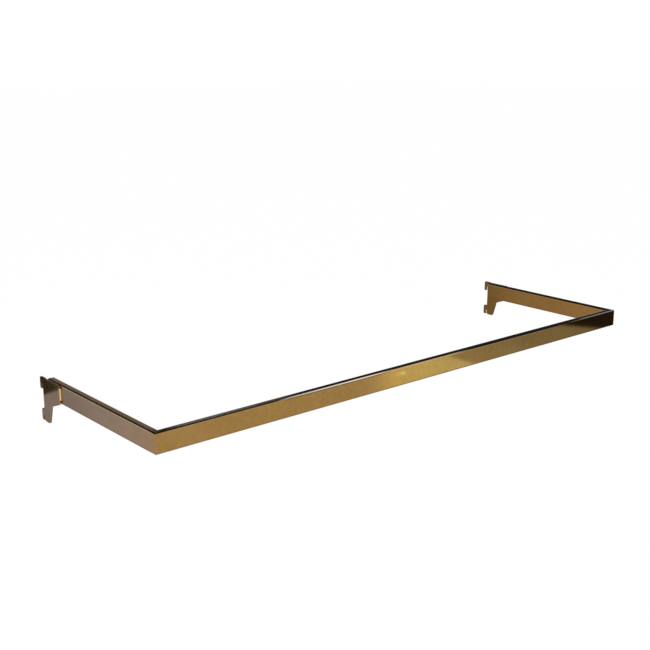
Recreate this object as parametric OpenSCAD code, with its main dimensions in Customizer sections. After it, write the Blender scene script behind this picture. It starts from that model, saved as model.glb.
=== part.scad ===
// Wall-mounted clothes rail: a flat tube bent round three sides of a rectangle by two welded mitres,
// held by a hook plate at the end of each arm that drops into a slotted upright.
// X runs along the rail, +Y points at the wall and +Z up. The origin is where the left upper hook
// bears on its upright: the middle of the left plate, the upright's front face, the hook's seat.

/* [Rail] */
// Distance between the middles of the two hook plates
bay_w = 1000; // [400:1:1500]
// Distance from the uprights' front face to the front of the rail
reach = 310; // [180:1:500]

/* [Tube] */
// Height of the flat tube
tube_h = 30; // [24:0.5:40]
// Thickness of the flat tube, seen from above
tube_t = 12; // [9:0.5:20]
// Wall of the tube
tube_wall = 1.5; // [1:0.1:2]
// Radius inside the tube's corners
tube_ri = 1; // [0.3:0.1:1.5]
// Distance from the uprights' front face to the open ends of the arms
tube_back = 11; // [8:0.5:24]

/* [Hook plates] */
// Thickness of the plate
plate_t = 3; // [2:0.1:4]
// Length of the plate in front of the uprights
plate_len = 52; // [46:1:80]
// How far the plate's top edge lies below the tube's top
plate_set = 0.8; // [0.3:0.1:1.5]
// Distance from the back edge to the step between the hook's top and the plate's top edge
shoulder_len = 5; // [3:0.5:12]
// Radius of the plate's top front corner
plate_r_top = 2.5; // [1:0.1:4]
// Radius of the plate's lower front corner
plate_r_low = 6; // [3:0.1:8]
// Drop of the plate's lower edge below the tube, where the tail begins
gusset_drop = 10.5; // [7:0.5:14]
// Distance from the back edge to the tail's front edge, at its root
tail_root = 24; // [22:0.5:34]
// Distance from the back edge to the tail's front edge, at its foot
tail_foot = 15.5; // [10:0.5:20]
// Reach of the tail below the seat of the lower hook
tail_below = 9; // [6:0.5:14]
// Length of the bevel at the tail's back corner
heel_len = 4; // [2:0.5:5]
// Height of the bevel at the tail's back corner
heel_h = 1.5; // [1:0.5:4]
// Radius in the corner between the lower edge and the tail
gusset_r = 4; // [2:0.5:6]
// Radius of the tail's front corner
tail_r = 3; // [1:0.5:4]

/* [Hooks] */
// Spacing of the two hooks, the same as the slots in the upright
hook_pitch = 50; // [46:1:64]
// Height of a hook above its seat
hook_arm = 10; // [8:0.5:13]
// Width of a hook's finger
finger_w = 5.5; // [3.5:0.1:7]
// Gap between the finger and the plate, for the upright's wall
throat_w = 3; // [2:0.1:3.6]
// Reach of the finger below its seat
finger_drop = 8.5; // [6:0.1:10]
// Radius of a hook's upper back corner
hook_r = 3; // [2:0.1:6]
// Radius of the finger's lower back corner
tip_r = 2.5; // [1:0.1:3]
// Relief radius in the corners of the seat
seat_r = 0.6; // [0.3:0.1:0.9]

/* [Welds] */
// Leg of the bead along a plate's front edge
bead_r = 3; // [1:0.1:3]
// Leg of the bead inside the open end of an arm
end_bead_r = 1.4; // [0.8:0.1:1.5]
// Width of the ground weld through a mitre
seam_w = 1.2; // [0.9:0.1:2]
// Radius that grinding leaves on the upright outer edge of a mitre
corner_r = 0.6; // [0.3:0.1:0.6]

/* [Hidden] */
$fn = 48;
// Levels: the seat of the upper hook is zero
tube_top = hook_arm;
plate_top = tube_top - plate_set;
tube_low = tube_top - tube_h;
tube_ro = tube_ri + tube_wall;
lower_seat = -hook_pitch;
tail_low = lower_seat - tail_below;
// The outer face of the left arm lies on the inner face of the left plate
arm_x = plate_t / 2;
rail_y = -reach;
hook_reach = throat_w + finger_w;
// Half of the mitre weld, measured along X or Y
seam_half = seam_w / sqrt(2);
// How far cutting shapes run past what they cut
over = 1;
// How far a rounding arc bites past tangency, so that it crosses the edges that it joins
bite = 0.002;
GOLD = [0.66, 0.52, 0.30];
PLATE_GOLD = [0.56, 0.46, 0.33];
WELD_GOLD = [0.74, 0.60, 0.38];

// Corners of the plate, as [distance towards the wall, height]
TOP_FRONT = [-plate_len, plate_top];
LOW_FRONT = [-plate_len, tube_low];
TAIL_ROOT = [-tail_root, tube_low - gusset_drop];
TAIL_FOOT = [-tail_foot, tail_low];
TAIL_HEEL = [-heel_len, tail_low];
TOP_BACK = [0, tube_top];
SHOULDER_TOP = [-shoulder_len, tube_top];
SHOULDER_LOW = [-shoulder_len - plate_set, plate_top];

function unit(v) = v / norm(v);

// Region between a corner and the arc that replaces it, run on by over past the corner's edges
module corner_patch(before, corner, after, r) {
    a = unit(before - corner);
    b = unit(after - corner);
    half = acos(a * b) / 2;
    middle = corner + unit(a + b) * r / sin(half);
    touch_a = corner + a * r / tan(half);
    touch_b = corner + b * r / tan(half);
    past_a = touch_a + unit(touch_a - middle) * over;
    past_b = touch_b + unit(touch_b - middle) * over;
    past_corner = corner - unit(a + b) * over / sin(half);
    difference() {
        polygon([middle, touch_a, past_a, past_corner, past_b, touch_b]);
        translate(middle) circle(r + bite);
    }
}

// The point that lies far beyond b on the line from a to b
function past(a, b, far) = b + unit(b - a) * far;

// Everything in front of the tail and below the plate's lower edge, with its inner corner rounded
module below_gusset() {
    difference() {
        polygon([
            past(TAIL_ROOT, LOW_FRONT, over),
            TAIL_ROOT,
            past(TAIL_ROOT, TAIL_FOOT, over),
            [-plate_len - over, tail_low - over]
        ]);
        corner_patch(LOW_FRONT, TAIL_ROOT, TAIL_FOOT, gusset_r);
    }
}

module plate_outline() {
    difference() {
        polygon([
            TOP_FRONT,
            [-plate_len, tail_low],
            TAIL_HEEL,
            [0, tail_low + heel_h],
            TOP_BACK,
            SHOULDER_TOP,
            SHOULDER_LOW
        ]);
        below_gusset();
        corner_patch(SHOULDER_LOW, TOP_FRONT, LOW_FRONT, plate_r_top);
        corner_patch(TOP_FRONT, LOW_FRONT, TAIL_ROOT, plate_r_low);
        corner_patch(TAIL_ROOT, TAIL_FOOT, TAIL_HEEL, tail_r);
    }
}

module rounded_rect(w, h, r) {
    square([w - 2 * r, h], center = true);
    square([w, h - 2 * r], center = true);
    for (x = [-1, 1], y = [-1, 1])
        translate([x * (w / 2 - r), y * (h / 2 - r)]) circle(r);
}

module tube_section() {
    difference() {
        rounded_rect(tube_t, tube_h, tube_ro);
        rounded_rect(tube_t - 2 * tube_wall, tube_h - 2 * tube_wall, tube_ri);
    }
}

// Draws its children at the right-hand end of the rail, mirrored
module at_right() {
    translate([bay_w, 0, 0]) mirror([1, 0, 0]) children();
}

// Whole tube of the front rail, square at both ends
module rail_tube() {
    translate([arm_x, rail_y + tube_t / 2, tube_top - tube_h / 2]) rotate([90, 0, 90])
        linear_extrude(bay_w - plate_t) tube_section();
}

// Whole tube of the left arm, square at both ends
module arm_tube() {
    translate([arm_x + tube_t / 2, -tube_back, tube_top - tube_h / 2]) rotate([90, 0, 0])
        linear_extrude(reach - tube_back) tube_section();
}

// Stands a shape drawn in plan through the full height of the tube
module through_tube() {
    translate([0, 0, tube_low - over]) linear_extrude(tube_h + 2 * over) children();
}

// Plan of the left mitre: what lies on the arm's side of the 45 degree line, moved by gap towards the arm
module arm_side(gap) {
    polygon([
        [arm_x - over, rail_y - over + gap],
        [arm_x + tube_t + over, rail_y + tube_t + over + gap],
        [arm_x + tube_t + over, 0],
        [arm_x - over, 0]
    ]);
}

// Plan of the rail between its two mitres, each moved by gap towards the middle
module rail_side(gap) {
    polygon([
        [arm_x - over + gap, rail_y - over],
        [bay_w - arm_x + over - gap, rail_y - over],
        [bay_w - arm_x - tube_t - over - gap, rail_y + tube_t + over],
        [arm_x + tube_t + over + gap, rail_y + tube_t + over]
    ]);
}

module arm() {
    color(GOLD) intersection() {
        arm_tube();
        through_tube() arm_side(seam_half);
    }
}

// Metal that joins the mitre, ground flush with the tubes
module corner_weld() {
    color(WELD_GOLD) difference() {
        union() {
            intersection() {
                arm_tube();
                through_tube() difference() {
                    arm_side(0);
                    arm_side(seam_half);
                }
            }
            intersection() {
                rail_tube();
                through_tube() intersection() {
                    difference() {
                        rail_side(0);
                        rail_side(seam_half);
                    }
                    translate([0, rail_y - over]) square([bay_w / 2, tube_t + 2 * over]);
                }
            }
        }
        through_tube() corner_patch([arm_x, 0], [arm_x, rail_y], [bay_w, rail_y], corner_r);
    }
}

// One hook: an arm over the slot's lower edge and a finger behind the upright's wall
module hook(seat) {
    difference() {
        translate([-over / 2, seat - finger_drop]) square([hook_reach + over / 2, hook_arm + finger_drop]);
        corner_patch([0, seat + hook_arm], [hook_reach, seat + hook_arm], [hook_reach, seat], hook_r);
        corner_patch([hook_reach, seat], [hook_reach, seat - finger_drop], [throat_w, seat - finger_drop],
                     tip_r);
        throat(seat);
    }
}

module throat(seat) {
    translate([-over, seat - finger_drop - over]) square([over + throat_w, finger_drop + over - seat_r]);
    translate([seat_r, seat - finger_drop]) square([throat_w - 2 * seat_r, finger_drop]);
    for (y = [seat_r, throat_w - seat_r])
        translate([y, seat - seat_r]) circle(seat_r);
}

module hook_plate() {
    color(PLATE_GOLD) translate([-plate_t / 2, 0, 0]) rotate([90, 0, 90]) linear_extrude(plate_t) {
        plate_outline();
        hook(0);
        hook(lower_seat);
    }
}

// Quarter-round bead of weld with rounded ends, in a corner that opens towards -X and -Y
module bead(r, low, high) {
    intersection() {
        union() {
            translate([0, 0, low + r]) cylinder(h = high - low - 2 * r, r = r);
            for (z = [low + r, high - r])
                translate([0, 0, z]) sphere(r);
        }
        translate([-2 * r, -2 * r, low - over]) cube([2 * r, 2 * r, high - low + 2 * over]);
    }
}

// Bead between the plate's front edge and the side of the arm
module front_bead() {
    color(WELD_GOLD) translate([arm_x, -plate_len, 0])
        bead(bead_r, tube_low + plate_r_low, plate_top - plate_r_top);
}

// Bead between the arm's open end and the plate
module end_bead() {
    color(WELD_GOLD) translate([arm_x, -tube_back, 0]) rotate([0, 0, 180])
        bead(end_bead_r, tube_low + tube_ro, tube_top - tube_ro);
}

module front_rail() {
    color(GOLD) intersection() {
        rail_tube();
        through_tube() rail_side(seam_half);
    }
}

module left_arm() { arm(); }
module right_arm() { at_right() arm(); }
module left_corner_weld() { corner_weld(); }
module right_corner_weld() { at_right() corner_weld(); }
module left_hook_plate() { hook_plate(); }
module right_hook_plate() { at_right() hook_plate(); }
module left_front_bead() { front_bead(); }
module right_front_bead() { at_right() front_bead(); }
module left_end_bead() { end_bead(); }
module right_end_bead() { at_right() end_bead(); }

front_rail();
left_arm();
right_arm();
left_corner_weld();
right_corner_weld();
left_hook_plate();
right_hook_plate();
left_front_bead();
right_front_bead();
left_end_bead();
right_end_bead();
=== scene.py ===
"""Looks of the wall-mounted clothes rail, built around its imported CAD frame.

Metres, +X along the rail, +Y towards the wall, +Z up. The origin is the seat of the left upper hook.
"""
import math

import bmesh
import bpy
from mathutils import Euler, Matrix, Vector


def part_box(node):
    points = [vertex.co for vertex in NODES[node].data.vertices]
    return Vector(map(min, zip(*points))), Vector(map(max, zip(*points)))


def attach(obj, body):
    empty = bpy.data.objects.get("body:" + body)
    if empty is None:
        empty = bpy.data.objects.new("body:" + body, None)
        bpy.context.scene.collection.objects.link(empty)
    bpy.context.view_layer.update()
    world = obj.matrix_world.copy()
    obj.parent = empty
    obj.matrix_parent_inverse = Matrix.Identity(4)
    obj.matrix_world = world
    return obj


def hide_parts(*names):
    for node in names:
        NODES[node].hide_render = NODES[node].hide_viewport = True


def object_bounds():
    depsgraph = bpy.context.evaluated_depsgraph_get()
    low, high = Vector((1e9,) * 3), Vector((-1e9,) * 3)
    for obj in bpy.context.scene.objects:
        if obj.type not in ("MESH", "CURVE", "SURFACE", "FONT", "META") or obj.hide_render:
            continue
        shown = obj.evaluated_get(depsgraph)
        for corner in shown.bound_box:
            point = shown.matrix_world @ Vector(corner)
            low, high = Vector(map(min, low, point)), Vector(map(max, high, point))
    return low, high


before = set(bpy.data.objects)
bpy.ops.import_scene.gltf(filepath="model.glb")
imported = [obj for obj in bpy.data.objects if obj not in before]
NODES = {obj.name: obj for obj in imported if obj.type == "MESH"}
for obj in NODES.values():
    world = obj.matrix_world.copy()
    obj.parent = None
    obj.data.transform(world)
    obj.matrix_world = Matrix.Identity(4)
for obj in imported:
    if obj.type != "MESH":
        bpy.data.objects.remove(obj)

CAD_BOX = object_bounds()

# Places read from the frame
RAIL_LOW, RAIL_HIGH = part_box("front_rail")
LEFT_ARM_LOW, LEFT_ARM_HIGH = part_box("left_arm")
TUBE_LOW = RAIL_LOW.z
TUBE_TOP = RAIL_HIGH.z
RAIL_FRONT = RAIL_LOW.y
RAIL_BACK = RAIL_HIGH.y
LEFT_FACE = LEFT_ARM_LOW.x
LEFT_INNER_FACE = LEFT_ARM_HIGH.x
RIGHT_INNER_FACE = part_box("right_arm")[0].x
PLATE_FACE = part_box("left_hook_plate")[0].x

# Where the uprights' face is in y, with the origin on it
UPRIGHTS = 0.0

# Camera: a plain frame with no shift, fitted to the photo's edges
CAMERA_PLACE = Vector((-0.6521, -1.4068, 0.4930))
CAMERA_HEADING = math.radians(40.563)
CAMERA_TILT = math.radians(-15.072)
CAMERA_ROLL = math.radians(0.115)
CAMERA_LENS = 58.31
CAMERA_FRAME_WIDTH = 36.0
CAMERA_NEAREST = 0.05
CAMERA_FARTHEST = 100.0

# Tones of the plating
GOLD = (0.330, 0.190, 0.058)
GOLD_DEEP = (0.300, 0.168, 0.047)
GOLD_PALE = (0.368, 0.224, 0.076)

# How many of each feature of the plating there are to a metre
CLOUDS = 14.0
MOTTLES = 170.0
POLISH_LINES = 900.0
PITS = 1500.0
WAVES = 42.0

# How much the features do, and between which values of their noise
CLOUD_SPAN = (0.35, 0.65)
PALE_SPAN = (0.40, 0.75)
PALE_SHARE = 0.7
POLISH_SPAN = (0.3, 0.7)
MOTTLE_SPAN = (0.3, 0.8)
PIT_SPAN = (0.70, 0.76)
PIT_ROUGHNESS = 0.08
LINE_STRETCH = 0.02
LINE_TO_WAVE_HEIGHT = 0.05

# Weld beads, with the ways in x and y that each stands out from its corner
BEADS = {"left_front_bead": (-1, -1), "right_front_bead": (1, -1),
         "left_end_bead": (1, 1), "right_end_bead": (-1, 1)}

# Shape of a bead. Depth and fullness are shares of its radius, and the bow of a ripple is in radians
RIPPLE_LENGTH = 0.0013
RIPPLE_DEPTH = 0.014
RIPPLE_BOW = 1.3
RINGS_PER_RIPPLE = 8
ARC_STEPS = 10
BEAD_FULLNESS = 0.97
END_ROUNDING = 0.0015
END_FULLNESS = 0.2
BEAD_SHARP_ANGLE = math.radians(50)

# Hook plates, and how their cut edges are eased
HOOK_PLATES = ("left_hook_plate", "right_hook_plate")
MERGE_DISTANCE = 0.00002
FLAT_ANGLE = math.radians(0.5)
EDGE_BEVEL = 0.00025
EDGE_SEGMENTS = 3
EDGE_ANGLE = math.radians(35)
LARGE_FACES_WIN = 100

# Stage
WORLD_FILL = 0.55
WORLD_BACKGROUND = 1.0
FLOOR_DROP = 0.90
FLOOR_SIZE = 60.0
FLOOR_TONE = (0.85, 0.85, 0.85, 1.0)
FLOOR_WHITE = 1.11
FLOOR_WHITE_SHARE = 0.82

# Studio cards. Their tones are light, where white is 1, and the tilts on a rounding are in degrees
EDGE_STEPS = 8
SOFT = 0.04
DARK_TONE = (0.035, 0.035, 0.045)
DARK = (DARK_TONE, DARK_TONE)
LOWER_ROUNDING = (-1, -60)

# Rays that go through the cards, which are all but the mirrored ones
RAYS_THROUGH_CARDS = ("visible_camera", "visible_diffuse", "visible_shadow", "visible_transmission",
                      "visible_volume_scatter")

# Ways that faces look, and the axes
FRONT = Vector((0.0, -1.0, 0.0))
LEFT = Vector((-1.0, 0.0, 0.0))
UP = Vector((0.0, 0.0, 1.0))
X_AXIS, Y_AXIS, Z_AXIS = range(3)


def add_object(name, data):
    """A new object in the scene."""
    thing = bpy.data.objects.new(name, data)
    bpy.context.scene.collection.objects.link(thing)
    return thing


def make_camera():
    """The photo's camera."""
    data = bpy.data.cameras.new("camera")
    data.lens = CAMERA_LENS
    data.sensor_width = CAMERA_FRAME_WIDTH
    data.clip_start = CAMERA_NEAREST
    data.clip_end = CAMERA_FARTHEST
    camera = add_object("camera", data)
    turn = Euler((math.pi / 2 + CAMERA_TILT, 0.0, -CAMERA_HEADING)).to_matrix().to_4x4()
    turn = turn @ Matrix.Rotation(CAMERA_ROLL, 4, "Z")
    camera.matrix_world = Matrix.Translation(CAMERA_PLACE) @ turn
    bpy.context.scene.camera = camera


class Nodes:
    """Shorthand for a material's or the world's node tree."""

    # Sockets of a Mix node that mixes colours
    MIX_FROM, MIX_TO, MIXED = 6, 7, 2

    def __init__(self, owner):
        owner.use_nodes = True
        self.tree = owner.node_tree
        self.tree.nodes.clear()

    def add(self, kind, **values):
        """A new node with its settings."""
        node = self.tree.nodes.new(kind)
        for key, value in values.items():
            setattr(node, key, value)
        return node

    def link(self, source, target):
        """Joins an output to an input."""
        self.tree.links.new(source, target)

    def put(self, target, value):
        """A socket or a plain value into an input."""
        if isinstance(value, bpy.types.NodeSocket):
            self.link(value, target)
        else:
            target.default_value = value

    def math(self, operation, a, b=0.0):
        """The result of an operation on two values."""
        node = self.add("ShaderNodeMath", operation=operation)
        self.put(node.inputs[0], a)
        self.put(node.inputs[1], b)
        return node.outputs[0]

    def span(self, value, low, high, to_low=0.0, to_high=1.0, smooth=False):
        """A value between low and high, carried over to between to_low and to_high."""
        node = self.add("ShaderNodeMapRange")
        node.interpolation_type = "SMOOTHSTEP" if smooth else "LINEAR"
        for socket, number in zip(node.inputs[:5], (value, low, high, to_low, to_high)):
            self.put(socket, number)
        return node.outputs[0]

    def mix(self, amount, a, b):
        """A colour between a and b. Each is a socket or a plain colour."""
        node = self.add("ShaderNodeMix", data_type="RGBA")
        self.put(node.inputs[0], amount)
        for socket, colour in ((self.MIX_FROM, a), (self.MIX_TO, b)):
            self.put(node.inputs[socket], (*colour, 1.0) if isinstance(colour, tuple) else colour)
        return node.outputs[self.MIXED]

    def ramp(self, value, colours):
        """Colours spread evenly over values from 0 to 1."""
        node = self.add("ShaderNodeValToRGB")
        stops = node.color_ramp.elements
        while len(stops) < len(colours):
            stops.new(0.5)
        for number, colour in enumerate(colours):
            stops[number].position = number / (len(colours) - 1)
            stops[number].color = (*colour, 1.0)
        self.put(node.inputs[0], value)
        return node.outputs[0]

    def noise(self, place, scale, detail=2.0, roughness=0.5):
        """Noise from 0 to 1."""
        node = self.add("ShaderNodeTexNoise")
        self.put(node.inputs["Vector"], place)
        node.inputs["Scale"].default_value = scale
        node.inputs["Detail"].default_value = detail
        node.inputs["Roughness"].default_value = roughness
        return node.outputs["Fac"]

    def stretched(self, scale):
        """Object coordinates in metres, stretched by a scale for each axis."""
        place = self.add("ShaderNodeTexCoord").outputs["Object"]
        node = self.add("ShaderNodeMapping")
        self.link(place, node.inputs["Vector"])
        node.inputs["Scale"].default_value = scale
        return node.outputs["Vector"]

    def bump(self, height, distance, under=None):
        """A normal from a height of so many metres, on top of another bump's normal."""
        node = self.add("ShaderNodeBump")
        node.inputs["Strength"].default_value = 1.0
        node.inputs["Distance"].default_value = distance
        self.link(height, node.inputs["Height"])
        if under is not None:
            self.link(under, node.inputs["Normal"])
        return node.outputs["Normal"]

    def blend(self, share, a, b):
        """A shader between shaders a and b."""
        node = self.add("ShaderNodeMixShader")
        self.link(share, node.inputs[0])
        self.link(a.outputs[0], node.inputs[1])
        self.link(b.outputs[0], node.inputs[2])
        return node

    def show(self, shader, output="ShaderNodeOutputMaterial"):
        """Makes a shader what the material or the world shows."""
        self.link(shader.outputs[0], self.add(output).inputs["Surface"])


def plating_tone(n, plain, mottle):
    """Cloudy gold with paler mottles."""
    cloud = n.noise(plain, CLOUDS, detail=3.0)
    tone = n.mix(n.span(cloud, *CLOUD_SPAN), GOLD_DEEP, GOLD)
    return n.mix(n.span(mottle, *PALE_SPAN, to_high=PALE_SHARE), tone, GOLD_PALE)


def plating_roughness(n, plain, mottle, polish, rough, grain):
    """A least roughness, with what the polishing lines, the mottles and the pits add."""
    line_grain = n.span(polish, *POLISH_SPAN, to_high=grain)
    mottle_grain = n.span(mottle, *MOTTLE_SPAN, to_high=grain)
    sheen = n.math("ADD", n.math("ADD", line_grain, mottle_grain), rough)
    pits = n.span(n.noise(plain, PITS), *PIT_SPAN, to_high=PIT_ROUGHNESS)
    return n.math("ADD", sheen, pits)


def plating_normal(n, plain, polish, wave):
    """A faint wave with polishing lines on it."""
    waves = n.bump(n.noise(plain, WAVES, detail=1.0), wave)
    return n.bump(polish, wave * LINE_TO_WAVE_HEIGHT, waves)


def plating(name, along, rough, wave, grain):
    """Gold-coloured plating: cloudy tone, polishing lines along one axis, fine pits and a faint wave.

    Rough is its least roughness, grain what lines and mottles each add to that, and wave the waves' height.
    """
    material = bpy.data.materials.new(name)
    n = Nodes(material)
    plain = n.stretched((1.0, 1.0, 1.0))
    lines = n.stretched(tuple(LINE_STRETCH if axis == along else 1.0 for axis in range(3)))
    mottle = n.noise(plain, MOTTLES, detail=3.0, roughness=0.6)
    polish = n.noise(lines, POLISH_LINES, detail=3.0, roughness=0.6)
    shader = n.add("ShaderNodeBsdfPrincipled")
    shader.inputs["Metallic"].default_value = 1.0
    n.link(plating_tone(n, plain, mottle), shader.inputs["Base Color"])
    n.link(plating_roughness(n, plain, mottle, polish, rough, grain), shader.inputs["Roughness"])
    n.link(plating_normal(n, plain, polish, wave), shader.inputs["Normal"])
    n.show(shader)
    return material


def background_ray(n):
    """1 for rays that look at the background: from the camera, or mirrored, or seen through glass."""
    path = n.add("ShaderNodeLightPath")
    seen = n.math("MAXIMUM", path.outputs["Is Camera Ray"], path.outputs["Is Glossy Ray"])
    return n.math("MAXIMUM", seen, path.outputs["Is Transmission Ray"])


def make_world():
    """A white background, which lights matt surfaces less than it shows."""
    world = bpy.data.worlds.new("world")
    bpy.context.scene.world = world
    n = Nodes(world)
    shader = n.add("ShaderNodeBackground")
    shader.inputs["Color"].default_value = (1.0, 1.0, 1.0, 1.0)
    strength = n.span(background_ray(n), 0.0, 1.0, WORLD_FILL, WORLD_BACKGROUND)
    n.link(strength, shader.inputs["Strength"])
    n.show(shader, output="ShaderNodeOutputWorld")


def floor_white():
    """Matt white, which is mostly plain white for the rays that look at the background."""
    material = bpy.data.materials.new("floor")
    n = Nodes(material)
    matt = n.add("ShaderNodeBsdfDiffuse")
    matt.inputs["Color"].default_value = FLOOR_TONE
    white = n.add("ShaderNodeEmission")
    white.inputs["Strength"].default_value = FLOOR_WHITE
    share = n.span(background_ray(n), 0.0, 1.0, to_high=FLOOR_WHITE_SHARE)
    n.show(n.blend(share, matt, white))
    return material


def make_floor():
    """A white floor well below the rail, with a faint shadow."""
    mesh = bpy.data.meshes.new("floor")
    half = FLOOR_SIZE / 2
    level = CAD_BOX[0].z - FLOOR_DROP
    corners = ((-half, -half), (half, -half), (half, half), (-half, half))
    mesh.from_pydata([(x, y, level) for x, y in corners], [], [(0, 1, 2, 3)])
    floor = add_object("floor", mesh)
    mesh.materials.append(floor_white())


def mirrored(point, normal, distance):
    """What the photo's camera sees mirrored at a point of a face lies here, that far from the face."""
    point = Vector(point)
    ray = (point - CAMERA_PLACE).normalized()
    return point + (ray - 2 * ray.dot(normal) * normal) * distance


def soft_cover(n, axes, soft):
    """How much of a card is there: 1 inside, less towards its edges."""
    cover = 1.0
    for axis in (0, 1):
        to_edge = n.math("MINIMUM", axes.outputs[axis], n.math("SUBTRACT", 1.0, axes.outputs[axis]))
        cover = n.math("MULTIPLY", cover, n.span(to_edge, 0.0, soft, smooth=True))
    return cover


def card_light(name, colours, soft):
    """The light of a card, which fades to clear at its edges."""
    material = bpy.data.materials.new(name)
    n = Nodes(material)
    axes = n.add("ShaderNodeSeparateXYZ")
    n.link(n.add("ShaderNodeTexCoord").outputs["UV"], axes.inputs[0])
    light = n.add("ShaderNodeEmission")
    n.link(n.ramp(axes.outputs[0], colours), light.inputs["Color"])
    clear = n.add("ShaderNodeBsdfTransparent")
    n.show(n.blend(soft_cover(n, axes, soft), clear, light))
    return material


def card_mesh(name, rows):
    """A strip of faces over rows of two corners, with u from left to right and v from row to row."""
    mesh = bpy.data.meshes.new(name)
    steps = range(len(rows) - 1)
    faces = [(2 * step, 2 * step + 1, 2 * step + 3, 2 * step + 2) for step in steps]
    mesh.from_pydata([tuple(point) for row in rows for point in row], [], faces)
    uv = mesh.uv_layers.new(name="uv")
    places = [(u, (step + v) / len(steps)) for step in steps for u, v in ((0, 0), (1, 0), (1, 1), (0, 1))]
    for loop, place in zip(uv.data, places):
        loop.uv = place
    return mesh


def card(name, rows, colours, soft=SOFT):
    """A studio card with soft edges that only mirrors show.

    Rows are its left and right corner at each level, from its lower edge to its upper one. Colours are its
    light, spread evenly from left to right, where white is 1. Soft is the share of its sides that fades.
    """
    board = add_object(name, card_mesh(name, rows))
    for rays in RAYS_THROUGH_CARDS:
        setattr(board, rays, False)
    board.data.materials.append(card_light(name, colours, soft))


def rail_card(name, places, distance, colours, soft=SOFT):
    """A card that the camera sees mirrored in the rail's front face. Places are its rows there, as (x, z)."""
    rows = [[mirrored((x, RAIL_FRONT, z), FRONT, distance) for x, z in row] for row in places]
    card(name, rows, colours, soft)


def side_card(name, face_x, places, distance, colours, soft=SOFT):
    """A card that the camera sees mirrored in a face that looks to the left. Places are rows of (y, z)."""
    rows = [[mirrored((face_x, y, z), LEFT, distance) for y, z in row] for row in places]
    card(name, rows, colours, soft)


def top_card(name, places, distance, colours, soft=SOFT):
    """A card that the camera sees mirrored in the tubes' top. Places are rows of (x, y)."""
    rows = [[mirrored((x, y, TUBE_TOP), UP, distance) for x, y in row] for row in places]
    card(name, rows, colours, soft)


def edge_card(name, start, end, side, tilts, distance, colours, soft=SOFT):
    """A card that the camera sees mirrored in a rounded edge from start to end.

    Tilts are where it begins and ends on the rounding, in degrees up from the way that the side looks.
    """
    rows = []
    for step in range(EDGE_STEPS + 1):
        tilt = math.radians(tilts[0] + (tilts[1] - tilts[0]) * step / EDGE_STEPS)
        normal = side * math.cos(tilt) + UP * math.sin(tilt)
        rows.append([mirrored(point, normal, distance) for point in (start, end)])
    card(name, rows, colours, soft)


def rail_edge_card(name, x_low, x_high, tilts, distance, colours, soft=SOFT, level=TUBE_TOP):
    """A card for the rail's front upper edge, or for its lower one."""
    start = (x_low, RAIL_FRONT, level)
    end = (x_high, RAIL_FRONT, level)
    edge_card(name, start, end, FRONT, tilts, distance, colours, soft)


def side_edge_card(name, face_x, y_low, y_high, tilts, distance, colours, soft=SOFT, level=TUBE_TOP):
    """A card for the upper edge of a face that looks to the left, or for its lower one."""
    start = (face_x, y_low, level)
    end = (face_x, y_high, level)
    edge_card(name, start, end, LEFT, tilts, distance, colours, soft)


def quad(lower_left, lower_right, upper_left, upper_right):
    """Rows of a four-sided area on a face."""
    return (lower_left, lower_right), (upper_left, upper_right)


def block(u_low, u_high, v_low, v_high):
    """Rows of a rectangle on a face."""
    return quad((u_low, v_low), (u_high, v_low), (u_low, v_high), (u_high, v_high))


def level_rows(x_ends, y_ends, z):
    """Rows of a level card."""
    return [[(x, y, z) for x in x_ends] for y in y_ends]


def upright_rows(left_foot, right_foot, z_ends):
    """Rows of an upright card that stands over a line."""
    return [[(*foot, z) for foot in (left_foot, right_foot)] for z in z_ends]


def even(colour):
    """The colours of a card that has the same light all over."""
    return colour, colour


def make_rail_face_cards():
    """A bright patch with two spots in the middle of the rail's front face, and its grey and dark right."""
    rail_card("bright_card", quad((0.385, -0.060), (0.680, -0.060), (0.355, 0.060), (0.640, 0.060)),
              distance=1.8, soft=0.24,
              colours=((1.60, 1.67, 1.24), (1.46, 1.59, 1.24), (1.43, 1.63, 1.41), (1.30, 1.50, 1.42),
                       (1.24, 1.44, 1.43)))
    rail_card("spot_card", block(0.438, 0.453, -0.004, 0.004),
              distance=0.9, soft=0.40, colours=even((2.9, 3.1, 2.9)))
    rail_card("small_spot_card", block(0.430, 0.438, -0.003, 0.002),
              distance=0.9, soft=0.40, colours=even((2.4, 2.7, 2.1)))
    rail_card("grey_card", quad((0.645, -0.034), (1.100, -0.034), (0.485, 0.030), (1.100, 0.030)),
              distance=1.5, soft=0.02,
              colours=((0.76, 0.78, 0.76), (0.66, 0.72, 0.72), (0.52, 0.57, 0.56), (0.50, 0.53, 0.50),
                       (0.44, 0.48, 0.42), (0.38, 0.43, 0.38), (0.36, 0.40, 0.34)))
    rail_card("dark_card", quad((1.030, -0.040), (1.350, -0.040), (0.594, 0.060), (1.350, 0.060)),
              distance=1.0, soft=0.05, colours=DARK)


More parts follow.
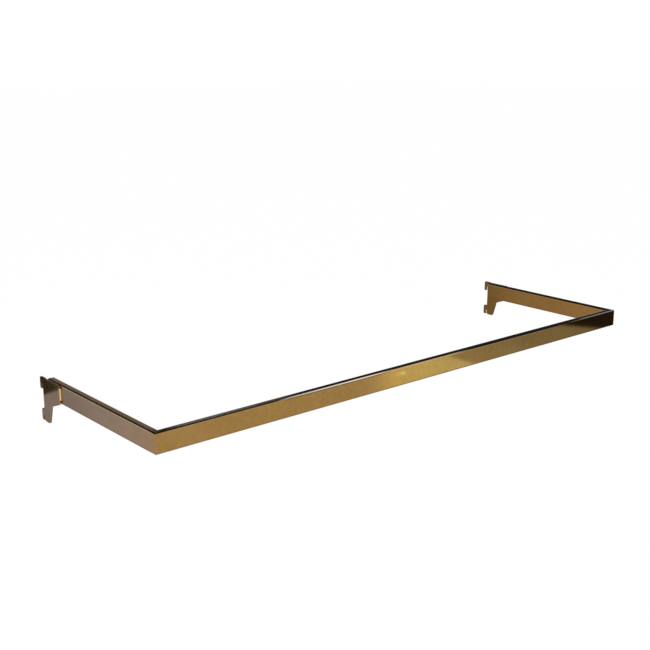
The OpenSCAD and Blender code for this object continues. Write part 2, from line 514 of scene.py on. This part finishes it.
def make_upper_edge_cards():
    """Pale, white, brown and dark lines along the rail's front upper edge, from left to right."""
    rail_edge_card("edge_pale_card", 0.000, 0.190, tilts=(8, 32), distance=1.9, soft=0.10,
                   colours=((1.05, 1.20, 1.70), (1.00, 1.10, 1.40)))
    rail_edge_card("edge_white_card", 0.195, 0.425, tilts=(20, 70), distance=1.9, soft=0.14,
                   colours=((1.2, 1.7, 3.6), (2.0, 3.1, 8.4), (2.5, 3.7, 9.5), (1.6, 2.3, 4.6)))
    rail_edge_card("edge_brown_card", 0.205, 0.415, tilts=(1.0, 19), distance=1.9, soft=0.10,
                   colours=((0.10, 0.07, 0.03), (0.14, 0.10, 0.05)))
    rail_edge_card("edge_light_card", 0.405, 0.600, tilts=(1.0, 54), distance=2.1, soft=0.10,
                   colours=((1.75, 2.10, 2.90), (1.65, 1.95, 2.60), (1.05, 1.32, 2.00)))
    rail_edge_card("edge_dim_card", 0.575, 0.848, tilts=(1.0, 38), distance=2.1, soft=0.06,
                   colours=((1.05, 1.30, 2.00), (0.88, 1.12, 1.90), (0.74, 0.90, 1.60), (0.45, 0.52, 0.85)))
    rail_edge_card("edge_black_card", 0.560, 0.885, tilts=(21, 44), distance=1.7, soft=0.09, colours=DARK)
    rail_edge_card("edge_dark_card", 0.838, 1.020, tilts=(0.5, 26), distance=2.2, soft=0.03, colours=DARK)
    rail_edge_card("edge_grey_card", 0.880, 1.020, tilts=(20, 80), distance=1.9, soft=0.14,
                   colours=((0.52, 0.80, 1.60), (0.60, 0.92, 1.80)))


def make_lower_edge_cards():
    """Greyer lines along the lower edges of the rail, the left arm and the right arm's inner face."""
    rail_edge_card("under_left_card", 0.000, 0.450, level=TUBE_LOW, tilts=LOWER_ROUNDING, distance=1.5,
                   soft=0.06, colours=((0.50, 0.49, 0.55), (0.58, 0.57, 0.66)))
    rail_edge_card("under_middle_card", 0.430, 0.820, level=TUBE_LOW, tilts=LOWER_ROUNDING, distance=1.5,
                   soft=0.06, colours=((0.70, 0.72, 0.86), (0.36, 0.38, 0.48), (0.20, 0.21, 0.26)))
    rail_edge_card("under_end_card", 0.790, 1.020, level=TUBE_LOW, tilts=LOWER_ROUNDING, distance=1.6,
                   soft=0.03, colours=DARK)
    side_edge_card("under_arm_card", LEFT_FACE, RAIL_FRONT, UPRIGHTS, level=TUBE_LOW, tilts=LOWER_ROUNDING,
                   distance=1.5, soft=0.06, colours=((0.36, 0.34, 0.40), (0.32, 0.30, 0.36)))
    side_edge_card("under_right_card", RIGHT_INNER_FACE, RAIL_BACK, UPRIGHTS, level=TUBE_LOW, tilts=(-1, -75),
                   distance=1.2, soft=0.03,
                   colours=((0.62, 0.56, 0.52), (0.50, 0.46, 0.40), (0.30, 0.28, 0.20)))


def make_side_cards():
    """The left arm's cool side and pale upper edge, its plate's dark corner, and the right arm's shade."""
    side_card("cool_card", LEFT_FACE, block(-0.345, 0.030, -0.080, 0.020), distance=1.7,
              colours=((0.90, 0.86, 1.10), (0.77, 0.83, 1.27), (0.67, 0.75, 1.17), (0.52, 0.58, 0.90),
                       (0.49, 0.55, 0.80)))
    plate_corner = quad((-0.056, 0.0045), (0.030, -0.031), (-0.056, 0.080), (0.030, 0.080))
    side_card("plate_dark_card", PLATE_FACE, plate_corner, distance=1.2, soft=0.01,
              colours=((0.060, 0.070, 0.050), (0.045, 0.050, 0.040)))
    side_card("shade_card", RIGHT_INNER_FACE, block(-0.330, 0.030, -0.080, 0.020), distance=0.8,
              colours=((0.80, 0.74, 0.78), (0.75, 0.69, 0.71), (0.70, 0.645, 0.64), (0.62, 0.57, 0.53),
                       (0.34, 0.32, 0.22)))
    side_edge_card("arm_edge_card", LEFT_FACE, RAIL_FRONT, -0.060, level=TUBE_TOP, tilts=(3, 40),
                   distance=3.0, soft=0.05, colours=((0.85, 1.25, 2.40), (0.70, 1.00, 1.80)))


def make_tail_and_bead_cards():
    """A pale line on the left tail's front edge and one on the left front bead.

    The last card keeps the bead's light out of the left front corner.
    """
    below_tail = level_rows(x_ends=(0.27, 0.55), y_ends=(-0.70, -0.40), z=-0.80)
    beside_bead = upright_rows(left_foot=(-0.95, 0.20), right_foot=(-0.65, -0.80), z_ends=(-0.80, 0.05))
    before_corner = upright_rows(left_foot=(-0.20, -0.24), right_foot=(-0.06, -0.56), z_ends=(-0.16, 0.00))
    card("tail_card", below_tail, soft=0.05, colours=even((0.42, 0.66, 1.4)))
    card("bead_card", beside_bead, soft=0.10, colours=((1.8, 2.5, 4.8), (2.4, 3.3, 6.2), (2.4, 3.3, 6.2)))
    card("corner_card", before_corner, soft=0.02, colours=even((0.95, 0.95, 0.98)))


def make_top_cards():
    """Grey on the left arm's top and pale on the rail's left, with a dark card above them all."""
    arm_top = block(LEFT_FACE, LEFT_INNER_FACE + 0.010, RAIL_BACK, 0.020)
    rail_top = block(LEFT_INNER_FACE, 0.270, RAIL_FRONT + 0.0060, RAIL_BACK + 0.002)
    ceiling = level_rows(x_ends=(-3.0, 8.0), y_ends=(-1.6, 4.8), z=1.6)
    top_card("arm_top_card", arm_top, distance=3.4, soft=0.01, colours=even((0.37, 0.37, 0.36)))
    top_card("rail_top_card", rail_top, distance=3.4, soft=0.20,
             colours=((1.35, 1.50, 2.40), (1.10, 1.25, 2.00), DARK_TONE))
    card("dark_ceiling", ceiling, soft=0.004, colours=DARK)


def softbox(name, place, width, height, light):
    """A soft lamp that looks at the part, and that mirrors don't show: the cards are what they show."""
    data = bpy.data.lights.new(name, "AREA")
    data.shape = "RECTANGLE"
    data.size = width
    data.size_y = height
    data.energy = light * math.pi * width * height
    lamp = add_object(name, data)
    lamp.location = place
    middle = (CAD_BOX[0] + CAD_BOX[1]) / 2
    lamp.rotation_euler = (middle - Vector(place)).to_track_quat("-Z", "Y").to_euler()
    lamp.visible_camera = False
    lamp.visible_glossy = False


def make_light():
    """Two soft lamps, and the cards that the mirror-bright metal shows."""
    softbox("front_right_softbox", (1.75, -1.80, 0.50), width=0.55, height=0.80, light=4.0)
    softbox("top_softbox", (-0.8, 0.4, 2.2), width=1.6, height=1.6, light=1.6)
    make_rail_face_cards()
    make_upper_edge_cards()
    make_lower_edge_cards()
    make_side_cards()
    make_tail_and_bead_cards()
    make_top_cards()


def bead_points(corner, ways, radius, low, high):
    """Points of a rippled bead in a corner, row by row upwards. Each row is an arc and then the corner."""
    rings = round((high - low) / RIPPLE_LENGTH * RINGS_PER_RIPPLE)
    for ring in range(rings + 1):
        z = low + (high - low) * ring / rings
        to_end = min(z - low, high - z, END_ROUNDING) / END_ROUNDING
        swell = max(END_FULLNESS, math.sqrt(1 - (1 - to_end) ** 2))
        for step in range(ARC_STEPS + 1):
            angle = math.pi / 2 * step / ARC_STEPS
            phase = 2 * math.pi * (z - low) / RIPPLE_LENGTH + RIPPLE_BOW * math.sin(2 * angle)
            reach = radius * swell * (BEAD_FULLNESS + RIPPLE_DEPTH * math.cos(phase))
            x = corner.x + ways[0] * reach * math.cos(angle)
            y = corner.y + ways[1] * reach * math.sin(angle)
            yield x, y, z
        yield corner.x, corner.y, z


def bead_mesh(name, points):
    """A closed mesh over a bead's rows of points, smooth round its sides and flat at its ends."""
    row = ARC_STEPS + 2
    last = len(points) - row
    sides = [(start + side, start + (side + 1) % row, start + row + (side + 1) % row, start + row + side)
             for start in range(0, last, row) for side in range(row)]
    ends = [tuple(range(row)), tuple(range(last, last + row))]
    mesh = bpy.data.meshes.new(name)
    mesh.from_pydata(points, [], sides + ends)
    shell = bmesh.new()
    shell.from_mesh(mesh)
    bmesh.ops.recalc_face_normals(shell, faces=shell.faces)
    for face in shell.faces:
        face.smooth = len(face.verts) == 4
    for edge in shell.edges:
        edge.smooth = edge.calc_face_angle(0.0) < BEAD_SHARP_ANGLE
    shell.to_mesh(mesh)
    shell.free()
    return mesh


def weld_bead(node, ways, material):
    """A bead with the ripples of its weld pool, in place of the plain one."""
    low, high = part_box(node)
    corner = Vector((low.x if ways[0] > 0 else high.x, low.y if ways[1] > 0 else high.y))
    points = list(bead_points(corner, ways, high.x - low.x, low.z, high.z))
    name = node + "_ripples"
    bead = add_object(name, bead_mesh(name, points))
    bead.data.materials.append(material)
    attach(bead, "root")
    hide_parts(node)


def round_edges(plate):
    """Takes the sharpness off a plate's cut edges, and keeps its faces flat in what they mirror."""
    weld = plate.modifiers.new("join", "WELD")
    weld.merge_threshold = MERGE_DISTANCE
    flat = plate.modifiers.new("flatten", "DECIMATE")
    flat.decimate_type = "DISSOLVE"
    flat.angle_limit = FLAT_ANGLE
    bevel = plate.modifiers.new("round", "BEVEL")
    bevel.width = EDGE_BEVEL
    bevel.segments = EDGE_SEGMENTS
    bevel.limit_method = "ANGLE"
    bevel.angle_limit = EDGE_ANGLE
    level = plate.modifiers.new("level", "WEIGHTED_NORMAL")
    level.mode = "FACE_AREA"
    level.weight = LARGE_FACES_WIN


def dress():
    """Plating on every piece, with rippled beads for the plain ones and eased edges on the plates."""
    tube_x = plating("tube_plating_x", X_AXIS, rough=0.03, wave=4e-6, grain=0.02)
    tube_y = plating("tube_plating_y", Y_AXIS, rough=0.03, wave=4e-6, grain=0.02)
    plate = plating("plate_plating", Z_AXIS, rough=0.035, wave=1.5e-6, grain=0.02)
    weld = plating("weld_plating", Z_AXIS, rough=0.07, wave=4e-6, grain=0.06)
    finish = {"front_rail": tube_x, "left_arm": tube_y, "right_arm": tube_y}
    finish.update((name, plate) for name in HOOK_PLATES)
    for name, node in NODES.items():
        material = finish.get(name, weld)
        for slot in node.material_slots:
            slot.material = material
    for name, ways in BEADS.items():
        weld_bead(name, ways, weld)
    for name in HOOK_PLATES:
        round_edges(NODES[name])


scene = bpy.context.scene
scene.view_settings.view_transform = "Standard"
make_camera()
make_world()
make_floor()
make_light()
dress()
